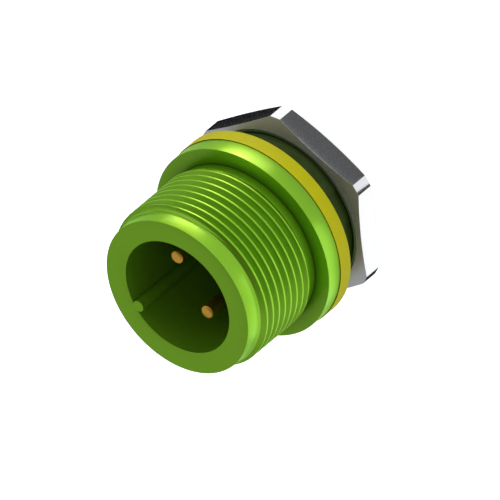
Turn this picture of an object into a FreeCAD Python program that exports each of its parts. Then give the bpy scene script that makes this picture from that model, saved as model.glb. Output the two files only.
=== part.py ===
"""Two-pin waterproof panel receptacle with a threaded round mouth, in millimetres.

+Z runs out of the mouth, +Y points at the key rib, and the two pins stand on the X axis.
The origin lies on the connector's axis, in the plane of the rear end that it stands on.
"""
import FreeCAD, Part
import math
import os
import Sketcher

# Driving sizes

SIZES = {
    # shell, outside, from the mouth back; nose and neck step in from the thread's crests
    "coupling_thread_dia": 19.0,
    "coupling_thread_length": 7.7,
    "nose_step": 0.575,
    "nose_length": 2.2,
    "nose_shoulder_length": 0.7,
    "nose_shoulder_hollow": 0.12,
    "neck_step": 0.35,
    "neck_length": 1.1,
    "thread_pitch": 1.0,
    "thread_depth": 0.55,
    "thread_crest": 0.15,
    "thread_start": 0.21,
    "rear_thread_dia": 18.0,
    "rear_thread_chamfer": 0.5,
    "flange_reach": 1.9,
    "flange_thickness": 1.9,
    # shell, inside, from the mouth back
    "mouth_wall": 2.4,
    "cavity_depth": 11.2,
    "collar_step": 1.1,
    "collar_thickness": 1.2,
    "rear_wall": 2.0,
    # round key rib on the cavity's wall
    "key_dia": 1.25,
    "key_inset": 0.465,
    # gasket, panel and nut; the gasket and the nut's corners stand a little proud of the flange
    "gasket_overhang": 0.1,
    "gasket_thickness": 1.65,
    "gasket_clearance": 0.05,
    "panel_space": 3.05,
    "nut_thickness": 2.85,
    "nut_wall": 0.95,
    "nut_corner_overhang": 0.25,
    "nut_chamfer_inset": 0.5,
    "nut_chamfer_height": 0.4,
    "nut_thread_clearance": 0.05,
    "rear_thread_showing": 0.95,
    # insulators, their seal and the ring that holds them
    "insulator_clearance": 0.05,
    "front_insulator_length": 3.5,
    "rear_insulator_thickness": 1.2,
    "lock_key_width": 1.4,
    "lock_key_depth": 0.5,
    "lock_key_height": 0.7,
    "seal_groove_depth": 0.85,
    "seal_groove_width": 1.5,
    "seal_groove_offset": 1.0,
    "seal_thickness": 1.3,
    "retaining_ring_width": 1.35,
    "retaining_ring_thickness": 1.5,
    "spanner_slot_width": 1.4,
    "spanner_slot_depth": 0.8,
    # contact pins
    "pin_spacing": 6.5,
    "pin_dia": 1.5,
    "pin_tip_depth": 2.4,
    "pin_tip_chamfer": 0.19,
    "pin_shank_dia": 2.0,
    "pin_collar_dia": 3.0,
    "pin_collar_thickness": 1.0,
    "contact_clearance": 0.05,
    "cup_dia": 2.4,
    "cup_bore_dia": 1.6,
    "cup_length": 3.8,
    "cup_bore_depth": 3.4,
    "scoop_length": 1.5,
    "scoop_offset": 0.1,
}

# Levels along the axis, as expressions of the sheet's cells

NUT_REAR = "sizes.rear_thread_showing"
NUT_FRONT = f"{NUT_REAR} + sizes.nut_thickness"
GASKET_REAR = f"{NUT_FRONT} + sizes.panel_space"
FLANGE_REAR = f"{GASKET_REAR} + sizes.gasket_thickness"
FLANGE_FRONT = f"{FLANGE_REAR} + sizes.flange_thickness"
NECK_FRONT = f"{FLANGE_FRONT} + sizes.neck_length"
THREAD_FRONT = f"{NECK_FRONT} + sizes.coupling_thread_length"
MOUTH = f"{THREAD_FRONT} + sizes.nose_length"
CAVITY_FLOOR = f"{MOUTH} - sizes.cavity_depth"
COLLAR_REAR = f"{CAVITY_FLOOR} - sizes.collar_thickness"
INSULATOR_JOINT = f"{COLLAR_REAR} - sizes.front_insulator_length"
INSULATOR_REAR = f"{INSULATOR_JOINT} - sizes.rear_insulator_thickness"
RING_REAR = f"{INSULATOR_REAR} - sizes.retaining_ring_thickness"
PIN_TIP = f"{MOUTH} - sizes.pin_tip_depth"
CUP_END = f"{INSULATOR_REAR} - sizes.cup_length"

# Radii that several pieces share

THREAD_RADIUS = "sizes.coupling_thread_dia / 2"
NOSE_RADIUS = f"({THREAD_RADIUS} - sizes.nose_step)"
MOUTH_RADIUS = f"({NOSE_RADIUS} - sizes.mouth_wall)"
BARREL_RADIUS = "sizes.rear_thread_dia / 2"
FLANGE_RADIUS = f"({BARREL_RADIUS} + sizes.flange_reach)"
REAR_BORE_RADIUS = f"({BARREL_RADIUS} - sizes.rear_wall)"
COLLAR_RADIUS = f"({REAR_BORE_RADIUS} - sizes.collar_step)"
INSULATOR_RADIUS = f"({REAR_BORE_RADIUS} - sizes.insulator_clearance)"
SPIGOT_RADIUS = f"({COLLAR_RADIUS} - sizes.insulator_clearance)"
SEAL_GROOVE_RADIUS = f"({INSULATOR_RADIUS} - sizes.seal_groove_depth)"
PIN_OFFSET = "sizes.pin_spacing / 2"

# Features that cut, and the least volume that each has to remove, in cubic millimetres

CUTS = ("PartDesign::Pocket", "PartDesign::Groove", "PartDesign::SubtractiveHelix")
LEAST_CUT = 1e-6

doc = FreeCAD.newDocument("panel_receptacle")
sheet = doc.addObject("Spreadsheet::Sheet", "sizes")
for row, (alias, value) in enumerate(SIZES.items(), start=1):
    sheet.set(f"A{row}", alias)
    sheet.set(f"B{row}", str(value))
    sheet.setAlias(f"B{row}", alias)
doc.recompute()


# Sketching


def number(expression):
    """The value of an expression of the sheet's cells, in millimetres."""
    value = sheet.evalExpression(expression)
    return float(getattr(value, "Value", value))


def new_body(label):
    """A named body for one sub-part."""
    body = doc.addObject("PartDesign::Body", label)
    body.Label = label
    return body


def new_sketch(body, name, role, height="0"):
    """A sketch on one of the body's own origin planes, lifted along the plane's normal."""
    sketch = body.newObject("Sketcher::SketchObject", name)
    plane = next(item for item in body.Origin.OriginFeatures if item.Role == role)
    sketch.AttachmentSupport = [(plane, "")]
    sketch.MapMode = "FlatFace"
    sketch.setExpression("AttachmentOffset.Base.z", height)
    return sketch


def bind(sketch, constraint, expression):
    """Add a constraint whose value is an expression of the sheet's cells."""
    index = sketch.addConstraint(constraint)
    sketch.setExpression(f"Constraints[{index}]", expression)


def bind_point(sketch, geometry, end, x, y):
    """Hold a point at x and y, each an expression; a plain 0 puts it on the axis itself."""
    if x == "0":
        sketch.addConstraint(Sketcher.Constraint("PointOnObject", geometry, end, -2))
    else:
        bind(sketch, Sketcher.Constraint("DistanceX", -1, 1, geometry, end, number(x)), x)
    if y == "0":
        sketch.addConstraint(Sketcher.Constraint("PointOnObject", geometry, end, -1))
    else:
        bind(sketch, Sketcher.Constraint("DistanceY", -1, 1, geometry, end, number(y)), y)


def arc_between(start, end, radius, turn):
    """An arc from start to end that turns left (turn 1) or right (turn -1)."""
    chord = end - start
    across = FreeCAD.Vector(-chord.y, chord.x, 0).normalize()
    reach = math.sqrt(max(radius**2 - (chord.Length / 2) ** 2, 0.0))
    centre = (start + end) * 0.5 + across * (turn * reach)
    from_point, to_point = (start, end) if turn > 0 else (end, start)
    first = math.atan2(from_point.y - centre.y, from_point.x - centre.x)
    last = math.atan2(to_point.y - centre.y, to_point.x - centre.x)
    circle = Part.Circle(centre, FreeCAD.Vector(0, 0, 1), radius)
    return Part.ArcOfCircle(circle, first, last)


def draw_outline(sketch, points):
    """Draw a closed outline.

    Each point is (x, y), reached by a straight line, or (x, y, radius, turn), reached by an arc
    that turns left for turn 1 and right for turn -1. The sizes are expressions.
    """
    places = [FreeCAD.Vector(number(point[0]), number(point[1]), 0) for point in points]
    runs = []
    for index, point in enumerate(points):
        start, end = places[index - 1], places[index]
        if len(point) == 2:
            runs.append((sketch.addGeometry(Part.LineSegment(start, end)), 1, 2))
            continue
        radius, turn = point[2], point[3]
        geometry = sketch.addGeometry(arc_between(start, end, number(radius), turn))
        runs.append((geometry, 1, 2) if turn > 0 else (geometry, 2, 1))
    for index, point in enumerate(points):
        geometry, _, last_end = runs[index]
        following, first_end, _ = runs[(index + 1) % len(runs)]
        sketch.addConstraint(
            Sketcher.Constraint("Coincident", geometry, last_end, following, first_end)
        )
        bind_point(sketch, geometry, last_end, point[0], point[1])
        if len(point) == 4:
            bind(sketch, Sketcher.Constraint("Radius", geometry, number(point[2])), point[2])


def draw_circle(sketch, x, y, diameter):
    """Draw a full circle whose place and diameter are expressions."""
    centre = FreeCAD.Vector(number(x), number(y), 0)
    circle = Part.Circle(centre, FreeCAD.Vector(0, 0, 1), number(diameter) / 2)
    geometry = sketch.addGeometry(circle)
    bind_point(sketch, geometry, 3, x, y)
    bind(sketch, Sketcher.Constraint("Diameter", geometry, number(diameter)), diameter)


def draw_hexagon(sketch, across_flats):
    """Draw a regular hexagon round the origin, with two corners on the Y axis."""
    corner_dia = f"{across_flats} / cos(30 deg)"
    radius = number(corner_dia) / 2
    turns = [math.radians(90 + 60 * step) for step in range(6)]
    corners = [FreeCAD.Vector(radius * math.cos(a), radius * math.sin(a), 0) for a in turns]
    guide = sketch.addGeometry(
        Part.Circle(FreeCAD.Vector(0, 0, 0), FreeCAD.Vector(0, 0, 1), radius), True
    )
    sketch.addConstraint(Sketcher.Constraint("Coincident", guide, 3, -1, 1))
    bind(sketch, Sketcher.Constraint("Diameter", guide, 2 * radius), corner_dia)
    sides = [
        sketch.addGeometry(Part.LineSegment(corners[step], corners[(step + 1) % 6]))
        for step in range(6)
    ]
    for step, side in enumerate(sides):
        following = sides[(step + 1) % 6]
        sketch.addConstraint(Sketcher.Constraint("Coincident", side, 2, following, 1))
        sketch.addConstraint(Sketcher.Constraint("PointOnObject", side, 1, guide))
    for side in sides[1:]:
        sketch.addConstraint(Sketcher.Constraint("Equal", sides[0], side))
    sketch.addConstraint(Sketcher.Constraint("PointOnObject", sides[0], 1, -2))


# Features


def turn_solid(body, name, points, kind="PartDesign::Revolution"):
    """Turn an outline of radius and height round the body's Z axis, as a solid or a groove."""
    sketch = new_sketch(body, f"{name}_outline", "XZ_Plane")
    draw_outline(sketch, points)
    feature = body.newObject(kind, name)
    feature.Profile = sketch
    feature.ReferenceAxis = (sketch, ["V_Axis"])
    feature.Angle = 360
    return feature


def pad(body, name, sketch, length, downward=False):
    """Raise a sketch by a length, or drop it where downward."""
    feature = body.newObject("PartDesign::Pad", name)
    feature.Profile = sketch
    feature.Reversed = downward
    feature.setExpression("Length", length)
    return feature


def pocket(body, name, sketch, depth, upward=False):
    """Cut a sketch down into the solid by a depth, or up into it where upward."""
    feature = body.newObject("PartDesign::Pocket", name)
    feature.Profile = sketch
    feature.Reversed = upward
    feature.setExpression("Length", depth)
    return feature


def repeat_opposite(body, name, features):
    """Repeat features on the other side of the body's Z axis."""
    axis = next(item for item in body.Origin.OriginFeatures if item.Role == "Z_Axis")
    feature = body.newObject("PartDesign::PolarPattern", name)
    feature.Originals = features
    feature.Axis = (axis, [""])
    feature.Angle = 360
    feature.Occurrences = 2
    body.Tip = feature
    return feature


# Sub-parts


def make_shell():
    """One turned piece: nose, coupling thread, neck, flange and barrel, with the key rib inside."""
    body = new_body("shell")
    run, hollow = "sizes.nose_shoulder_length", "sizes.nose_shoulder_hollow"
    shoulder_radius = f"{THREAD_RADIUS} - sizes.nose_step / 2 - {hollow}"
    neck_radius = f"{THREAD_RADIUS} - sizes.neck_step"
    turn_solid(
        body,
        "turned_shell",
        [
            (REAR_BORE_RADIUS, "0"),
            (f"{BARREL_RADIUS} - sizes.rear_thread_chamfer", "0"),
            (BARREL_RADIUS, "sizes.rear_thread_chamfer"),
            (BARREL_RADIUS, FLANGE_REAR),
            (FLANGE_RADIUS, FLANGE_REAR),
            (FLANGE_RADIUS, FLANGE_FRONT),
            (neck_radius, FLANGE_FRONT),
            (neck_radius, NECK_FRONT),
            (THREAD_RADIUS, f"{NECK_FRONT} + sizes.neck_step"),
            (THREAD_RADIUS, THREAD_FRONT),
            (shoulder_radius, f"{THREAD_FRONT} + {run} / 2 - {hollow}"),
            (NOSE_RADIUS, f"{THREAD_FRONT} + {run}"),
            (NOSE_RADIUS, MOUTH),
            (MOUTH_RADIUS, MOUTH),
            (MOUTH_RADIUS, CAVITY_FLOOR),
            (COLLAR_RADIUS, CAVITY_FLOOR),
            (COLLAR_RADIUS, COLLAR_REAR),
            (REAR_BORE_RADIUS, COLLAR_REAR),
        ],
    )
    key_circle = new_sketch(body, "key_circle", "XY_Plane", MOUTH)
    draw_circle(key_circle, "0", f"{MOUTH_RADIUS} - sizes.key_inset", "sizes.key_dia")
    pad(body, "key_rib", key_circle, "sizes.cavity_depth", downward=True)
    slot = new_sketch(body, "lock_slot_outline", "XY_Plane", COLLAR_REAR)
    draw_lock_key(slot, "sizes.insulator_clearance")
    slot_height = "sizes.lock_key_height + sizes.insulator_clearance"
    pocket(body, "lock_slot", slot, slot_height, upward=True)
    body.Tip = cut_coupling_thread(body)
    return body


def cut_coupling_thread(body):
    """Cut the right-hand thread's groove, from the neck up until it runs out in the nose shoulder."""
    groove = new_sketch(body, "thread_groove_outline", "XZ_Plane")
    start = f"{NECK_FRONT} + sizes.thread_start"
    beyond = "sizes.thread_crest"
    half_width = "(sizes.thread_pitch - sizes.thread_crest) / 2"
    half_opening = f"{half_width} * (1 + {beyond} / sizes.thread_depth)"
    draw_outline(
        groove,
        [
            (f"{THREAD_RADIUS} - sizes.thread_depth", start),
            (f"{THREAD_RADIUS} + {beyond}", f"{start} - {half_opening}"),
            (f"{THREAD_RADIUS} + {beyond}", f"{start} + {half_opening}"),
        ],
    )
    helix = body.newObject("PartDesign::SubtractiveHelix", "coupling_thread")
    helix.Profile = groove
    helix.ReferenceAxis = (groove, ["V_Axis"])
    helix.Mode = "pitch-height-angle"
    helix.setExpression("Pitch", "sizes.thread_pitch")
    helix.setExpression("Height", f"{MOUTH} - ({start}) - sizes.thread_pitch")
    return helix


def draw_lock_key(sketch, clearance):
    """The rectangle on the -Y side that keys the front insulator to the shell's collar."""
    half_width = f"sizes.lock_key_width / 2 + {clearance}"
    inner = f"{COLLAR_RADIUS} - sizes.lock_key_depth"
    outer = f"{COLLAR_RADIUS} + sizes.lock_key_depth + {clearance}"
    draw_outline(
        sketch,
        [
            (f"-({half_width})", f"-({inner})"),
            (f"-({half_width})", f"-({outer})"),
            (half_width, f"-({outer})"),
            (half_width, f"-({inner})"),
        ],
    )


def make_panel_gasket():
    """Flat rubber ring between the flange and the panel."""
    body = new_body("panel_gasket")
    inner = f"{BARREL_RADIUS} + sizes.gasket_clearance"
    outer = f"{FLANGE_RADIUS} + sizes.gasket_overhang"
    body.Tip = turn_solid(
        body,
        "ring",
        [
            (inner, GASKET_REAR),
            (outer, GASKET_REAR),
            (outer, FLANGE_REAR),
            (inner, FLANGE_REAR),
        ],
    )
    return body


def make_lock_nut():
    """Thin hexagon nut whose corners are turned round and chamfered on both faces."""
    body = new_body("lock_nut")
    hexagon = new_sketch(body, "hexagon", "XY_Plane", NUT_REAR)
    flat_radius = f"({BARREL_RADIUS} + sizes.nut_wall)"
    draw_hexagon(hexagon, f"2 * {flat_radius}")
    pad(body, "hexagon_bar", hexagon, "sizes.nut_thickness")
    face = f"{flat_radius} - sizes.nut_chamfer_inset"
    corner = f"{FLANGE_RADIUS} + sizes.nut_corner_overhang"
    beyond = f"2 * {flat_radius}"
    rise = "sizes.nut_chamfer_height"
    turn_solid(
        body,
        "turned_corners",
        [
            (face, NUT_REAR),
            (beyond, NUT_REAR),
            (beyond, NUT_FRONT),
            (face, NUT_FRONT),
            (corner, f"{NUT_FRONT} - {rise}"),
            (corner, f"{NUT_REAR} + {rise}"),
        ],
        kind="PartDesign::Groove",
    )
    bore = new_sketch(body, "threaded_bore_circle", "XY_Plane", NUT_FRONT)
    draw_circle(bore, "0", "0", f"2 * ({BARREL_RADIUS} + sizes.nut_thread_clearance)")
    body.Tip = pocket(body, "threaded_bore", bore, "sizes.nut_thickness")
    return body


def make_front_insulator():
    """Moulded disc that closes the cavity, with a seal groove, a lock key and two pin holes."""
    body = new_body("front_insulator")
    groove_front = f"{COLLAR_REAR} - sizes.seal_groove_offset"
    groove_rear = f"{groove_front} - sizes.seal_groove_width"
    turn_solid(
        body,
        "turned_disc",
        [
            ("0", INSULATOR_JOINT),
            (INSULATOR_RADIUS, INSULATOR_JOINT),
            (INSULATOR_RADIUS, groove_rear),
            (SEAL_GROOVE_RADIUS, groove_rear),
            (SEAL_GROOVE_RADIUS, groove_front),
            (INSULATOR_RADIUS, groove_front),
            (INSULATOR_RADIUS, COLLAR_REAR),
            (SPIGOT_RADIUS, COLLAR_REAR),
            (SPIGOT_RADIUS, CAVITY_FLOOR),
            ("0", CAVITY_FLOOR),
        ],
    )
    key = new_sketch(body, "lock_key_outline", "XY_Plane", COLLAR_REAR)
    draw_lock_key(key, "0")
    pad(body, "lock_key", key, "sizes.lock_key_height")
    hole = new_sketch(body, "pin_hole_circle", "XY_Plane", CAVITY_FLOOR)
    draw_circle(hole, PIN_OFFSET, "0", "sizes.pin_shank_dia + 2 * sizes.contact_clearance")
    through = "sizes.collar_thickness + sizes.front_insulator_length"
    pin_hole = pocket(body, "pin_hole", hole, through)
    seat = new_sketch(body, "collar_seat_circle", "XY_Plane", INSULATOR_JOINT)
    draw_circle(seat, PIN_OFFSET, "0", "sizes.pin_collar_dia + 2 * sizes.contact_clearance")
    collar_seat = pocket(body, "collar_seat", seat, "sizes.pin_collar_thickness", upward=True)
    repeat_opposite(body, "both_pin_holes", [pin_hole, collar_seat])
    return body


def make_insulator_seal():
    """Rubber ring pressed square between the front insulator's groove and the shell's bore."""
    body = new_body("insulator_seal")
    middle = f"{COLLAR_REAR} - sizes.seal_groove_offset - sizes.seal_groove_width / 2"
    half_height = "sizes.seal_thickness / 2"
    body.Tip = turn_solid(
        body,
        "pressed_ring",
        [
            (SEAL_GROOVE_RADIUS, f"{middle} - {half_height}"),
            (REAR_BORE_RADIUS, f"{middle} - {half_height}"),
            (REAR_BORE_RADIUS, f"{middle} + {half_height}"),
            (SEAL_GROOVE_RADIUS, f"{middle} + {half_height}"),
        ],
    )
    return body


def make_rear_insulator():
    """Disc with two holes that traps the pins' collars from behind."""
    body = new_body("rear_insulator")
    disc = new_sketch(body, "disc_circle", "XY_Plane", INSULATOR_JOINT)
    draw_circle(disc, "0", "0", f"2 * {INSULATOR_RADIUS}")
    pad(body, "disc", disc, "sizes.rear_insulator_thickness", downward=True)
    hole = new_sketch(body, "cup_hole_circle", "XY_Plane", INSULATOR_JOINT)
    draw_circle(hole, PIN_OFFSET, "0", "sizes.cup_dia + 2 * sizes.contact_clearance")
    cup_hole = pocket(body, "cup_hole", hole, "sizes.rear_insulator_thickness")
    repeat_opposite(body, "both_cup_holes", [cup_hole])
    return body


def make_retaining_ring():
    """Ring that screws into the shell behind the insulators, with two spanner slots."""
    body = new_body("retaining_ring")
    inner = f"({INSULATOR_RADIUS} - sizes.retaining_ring_width)"
    turn_solid(
        body,
        "turned_ring",
        [
            (inner, RING_REAR),
            (INSULATOR_RADIUS, RING_REAR),
            (INSULATOR_RADIUS, INSULATOR_REAR),
            (inner, INSULATOR_REAR),
        ],
    )
    slot = new_sketch(body, "spanner_slot_outline", "XY_Plane", RING_REAR)
    half_width = "sizes.spanner_slot_width / 2"
    near, far = f"{inner} / 2", REAR_BORE_RADIUS
    draw_outline(
        slot,
        [
            (f"-({half_width})", near),
            (half_width, near),
            (half_width, far),
            (f"-({half_width})", far),
        ],
    )
    spanner_slot = pocket(body, "spanner_slot", slot, "sizes.spanner_slot_depth", upward=True)
    repeat_opposite(body, "both_spanner_slots", [spanner_slot])
    return body


def make_contact_pin(label, side):
    """Turned contact: pin, shank, trapped collar and a solder cup that opens outwards."""
    body = new_body(label)
    pin, cup = "sizes.pin_dia / 2", "sizes.cup_dia / 2"
    shank, cup_bore = "sizes.pin_shank_dia / 2", "sizes.cup_bore_dia / 2"
    cup_floor = f"{CUP_END} + sizes.cup_bore_depth"
    collar_front = f"{INSULATOR_JOINT} + sizes.pin_collar_thickness"
    tip = "sizes.pin_tip_chamfer"
    turn_solid(
        body,
        "turned_contact",
        [
            (cup_bore, CUP_END),
            (cup, CUP_END),
            (cup, INSULATOR_JOINT),
            ("sizes.pin_collar_dia / 2", INSULATOR_JOINT),
            ("sizes.pin_collar_dia / 2", collar_front),
            (shank, collar_front),
            (shank, CAVITY_FLOOR),
            (pin, CAVITY_FLOOR),
            (pin, f"{PIN_TIP} - {tip}"),
            (f"{pin} - {tip}", PIN_TIP),
            ("0", PIN_TIP),
            ("0", cup_floor),
            (cup_bore, cup_floor),
        ],
    )
    scoop = new_sketch(body, "scoop_outline", "XZ_Plane")
    scoop_top = f"{CUP_END} + sizes.scoop_length"
    sweep = f"({cup} - sizes.scoop_offset)"
    draw_outline(
        scoop,
        [
            ("sizes.scoop_offset", CUP_END),
            ("sizes.cup_dia", CUP_END),
            ("sizes.cup_dia", scoop_top),
            (cup, scoop_top),
            ("sizes.scoop_offset", f"{scoop_top} - {sweep}", sweep, 1),
        ],
    )
    feature = pocket(body, "scoop", scoop, "2 * sizes.cup_dia")
    feature.Midplane = True
    body.Tip = feature
    body.Placement.Rotation = FreeCAD.Rotation(FreeCAD.Vector(0, 0, 1), 0 if side > 0 else 180)
    body.setExpression("Placement.Base.x", f"{side} * {PIN_OFFSET}")
    return body


# Checks and export


def check(subparts):
    """Stop if any object failed, any cut removed nothing, or any sub-part is not one sound solid."""
    for item in doc.Objects:
        if "Invalid" in item.State or "Error" in item.State:
            raise RuntimeError(f"{item.Label} failed: {item.State}")
        if item.TypeId in CUTS:
            if item.Shape.Volume > item.BaseFeature.Shape.Volume - LEAST_CUT:
                raise RuntimeError(f"{item.Label} cuts nothing")
    for body in subparts:
        shape = body.Shape
        if shape.isNull() or not shape.isValid() or len(shape.Solids) != 1:
            raise RuntimeError(f"{body.Label} is not one sound solid")


def main():
    """Build every sub-part, check it and write its STEP file."""
    subparts = [
        make_shell(),
        make_panel_gasket(),
        make_lock_nut(),
        make_front_insulator(),
        make_insulator_seal(),
        make_rear_insulator(),
        make_retaining_ring(),
        make_contact_pin("contact_pin_a", 1),
        make_contact_pin("contact_pin_b", -1),
    ]
    doc.recompute()
    check(subparts)
    os.makedirs("parts", exist_ok=True)
    for body in subparts:
        body.Shape.exportStep(f"parts/{body.Label}.step")
        print(f"{body.Label}: volume {body.Shape.Volume:.3f} mm3, {len(body.Shape.Faces)} faces")


main()
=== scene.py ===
"""Looks of the two-pin waterproof panel receptacle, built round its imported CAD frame.

Sizes are in millimetres and become metres only where a mesh, a material, a lamp or the camera is made.
The axes are the frame's own: +Z runs out of the mouth, +Y points at the key rib and the two pins stand on
the X axis.
"""
import sys

import logging
import math
from collections.abc import Callable, Iterable, Sequence
from dataclasses import dataclass
from enum import Enum
from typing import NamedTuple

import bmesh
import bpy
from mathutils import Matrix, Vector


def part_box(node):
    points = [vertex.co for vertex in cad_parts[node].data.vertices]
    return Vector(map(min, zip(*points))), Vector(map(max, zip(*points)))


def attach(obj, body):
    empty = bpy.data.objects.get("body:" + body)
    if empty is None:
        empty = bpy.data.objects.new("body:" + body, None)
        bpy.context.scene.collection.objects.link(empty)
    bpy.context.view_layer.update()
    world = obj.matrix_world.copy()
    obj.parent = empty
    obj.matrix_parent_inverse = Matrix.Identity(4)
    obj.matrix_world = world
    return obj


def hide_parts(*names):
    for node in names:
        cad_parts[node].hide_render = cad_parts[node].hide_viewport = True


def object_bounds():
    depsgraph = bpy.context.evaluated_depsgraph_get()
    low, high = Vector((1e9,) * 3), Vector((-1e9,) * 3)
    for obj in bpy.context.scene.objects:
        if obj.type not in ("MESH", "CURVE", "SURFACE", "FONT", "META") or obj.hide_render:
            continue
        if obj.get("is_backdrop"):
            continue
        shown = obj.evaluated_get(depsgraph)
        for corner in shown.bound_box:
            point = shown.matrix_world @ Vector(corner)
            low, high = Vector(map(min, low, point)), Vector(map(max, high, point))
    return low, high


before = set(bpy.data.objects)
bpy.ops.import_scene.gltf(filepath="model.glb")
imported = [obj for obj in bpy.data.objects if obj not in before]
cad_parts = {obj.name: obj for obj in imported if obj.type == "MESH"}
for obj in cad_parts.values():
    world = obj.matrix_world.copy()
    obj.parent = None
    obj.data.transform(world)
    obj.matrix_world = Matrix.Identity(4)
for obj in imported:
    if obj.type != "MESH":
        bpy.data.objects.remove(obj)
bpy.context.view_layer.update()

Material = bpy.types.Material
Piece = bpy.types.Object
Socket = bpy.types.NodeSocket
Tree = bpy.types.NodeTree

MM = 0.001
TURN = 2.0 * math.pi
COLUMNS = 192  # points round a turned piece that doesn't state its own number
WELD = 0.0005  # points closer than this are one point
SLIVER = WELD / 2  # edges shorter than this are dropped
CUT_WELD = WELD / 5  # points closer than this after a cut are one point
SHARP = math.radians(32.0)  # a corner that turns further than this stays crisp
WHITE = "#FFFFFF"

log = logging.getLogger("receptacle")


# Meshes


class Corner(NamedTuple):
    """A corner of a turned outline: its radius from the axis, its height, and how far it is rounded."""

    r: float
    z: float
    rounding: float = 0.0


class Blend(Enum):
    """How a solid is combined with a tool."""

    JOIN = "UNION"
    CUT = "DIFFERENCE"


def box_of(node: str) -> tuple[Vector, Vector]:
    """A CAD node's lowest and highest corners, in millimetres."""
    low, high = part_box(node)
    return low / MM, high / MM


def soften(outline: Sequence[Corner], closed: bool = True, steps: int = 4) -> list[tuple[float, float]]:
    """Round the corners of an outline that ask for it.

    Args:
        outline: The corners in order.
        closed: Whether the last corner runs on to the first.
        steps: How many pieces each rounded corner is drawn with.

    Returns:
        The outline's points as (radius, height).
    """
    points: list[tuple[float, float]] = []
    for index, corner in enumerate(outline):
        here = Vector((corner.r, corner.z))
        if corner.rounding == 0.0 or (not closed and index in (0, len(outline) - 1)):
            points.append((here.x, here.y))
            continue
        before, after = outline[index - 1], outline[(index + 1) % len(outline)]
        back = (Vector((before.r, before.z)) - here).normalized()
        ahead = (Vector((after.r, after.z)) - here).normalized()
        half = back.angle(ahead) / 2
        centre = here + (back + ahead).normalized() * (corner.rounding / math.sin(half))
        first = here + back * (corner.rounding / math.tan(half)) - centre
        last = here + ahead * (corner.rounding / math.tan(half)) - centre
        sweep = first.angle_signed(last)
        for step in range(steps + 1):
            spoke = first.copy()
            spoke.rotate(Matrix.Rotation(-sweep * step / steps, 2))
            points.append((centre.x + spoke.x, centre.y + spoke.y))
    return points


def polar(radius: float, angle: float, height: float) -> Vector:
    """The point at a radius and an angle round the Z axis, and at a height."""
    return Vector((radius * math.cos(angle), radius * math.sin(angle), height))


def circle(radius: float, height: float, columns: int = COLUMNS) -> list[Vector]:
    """The points of a level circle round the Z axis, starting on +X."""
    return [polar(radius, TURN * i / columns, height) for i in range(columns)]


def add_band(mesh: bmesh.types.BMesh, loops: Iterable[Sequence[Vector]], closed: bool = False) -> None:
    """Cover the space between following loops of points with faces.

    Args:
        mesh: The mesh that gets the faces.
        loops: Loops with the same number of points, in millimetres; a loop may lie on the axis.
        closed: Whether the last loop runs on to the first.
    """
    rings = [[mesh.verts.new(point * MM) for point in loop] for loop in loops]
    pairs = list(zip(rings, rings[1:])) + ([(rings[-1], rings[0])] if closed else [])
    for lower, upper in pairs:
        for i in range(len(lower)):
            j = (i + 1) % len(lower)
            mesh.faces.new((lower[i], lower[j], upper[j], upper[i]))


def warn_if_open(mesh: bmesh.types.BMesh, name: str) -> None:
    """Log a mesh that doesn't close round its inside.

    Args:
        mesh: The mesh.
        name: The name that the log gives.
    """
    open_edges = sum(not edge.is_manifold for edge in mesh.edges)
    if open_edges:
        log.warning("%s has %d open edges", name, open_edges)


def to_data(mesh: bmesh.types.BMesh, name: str) -> bpy.types.Mesh:
    """Store a finished mesh under a name, and free it.

    Args:
        mesh: The mesh. It is freed.
        name: The stored mesh's name.

    Returns:
        The stored mesh.
    """
    data = bpy.data.meshes.new(name)
    mesh.to_mesh(data)
    mesh.free()
    return data


def shade(data: bpy.types.Mesh, sharp: float = SHARP) -> None:
    """Shade a mesh smooth, with its sharper corners left crisp."""
    data.shade_smooth()
    data.set_sharp_from_angle(angle=sharp)


def place_object(name: str, data: bpy.types.ID) -> Piece:
    """Put a new object at the origin of the scene.

    Args:
        name: The object's name.
        data: The mesh, lamp or camera that it holds.

    Returns:
        The object.
    """
    item = bpy.data.objects.new(name, data)
    bpy.context.scene.collection.objects.link(item)
    return item


def finish_mesh(mesh: bmesh.types.BMesh, name: str, sharp: float = SHARP) -> Piece:
    """Weld a mesh, point its faces outwards and make it a shaded object.

    Args:
        mesh: The faces of one closed piece. It is freed.
        name: The object's name.
        sharp: The angle past which an edge is shaded as a corner.

    Returns:
        The object, at the origin.
    """
    bmesh.ops.remove_doubles(mesh, verts=mesh.verts[:], dist=WELD * MM)
    bmesh.ops.dissolve_degenerate(mesh, edges=mesh.edges[:], dist=SLIVER * MM)
    bmesh.ops.recalc_face_normals(mesh, faces=mesh.faces[:])
    warn_if_open(mesh, name)
    data = to_data(mesh, name)
    shade(data, sharp)
    return place_object(name, data)


def turn_piece(name: str, outline: Sequence[Corner], columns: int = COLUMNS, closed: bool = True) -> Piece:
    """Turn an outline round the Z axis.

    Args:
        name: The object's name.
        outline: The corners of the piece's section, in millimetres.
        columns: Points round the axis.
        closed: Whether the outline closes; one that doesn't begins and ends on the axis.

    Returns:
        The turned object.
    """
    mesh = bmesh.new()
    add_band(mesh, [circle(r, z, columns) for r, z in soften(outline, closed)], closed)
    return finish_mesh(mesh, name)


def settle(piece: Piece) -> None:
    """Turn a piece's modifiers into plain mesh and take them off.

    Args:
        piece: The object with its modifiers.
    """
    bpy.context.view_layer.update()
    result = bpy.data.meshes.new_from_object(piece.evaluated_get(bpy.context.evaluated_depsgraph_get()))
    result.name = piece.name
    piece.modifiers.clear()
    piece.data = result


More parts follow.
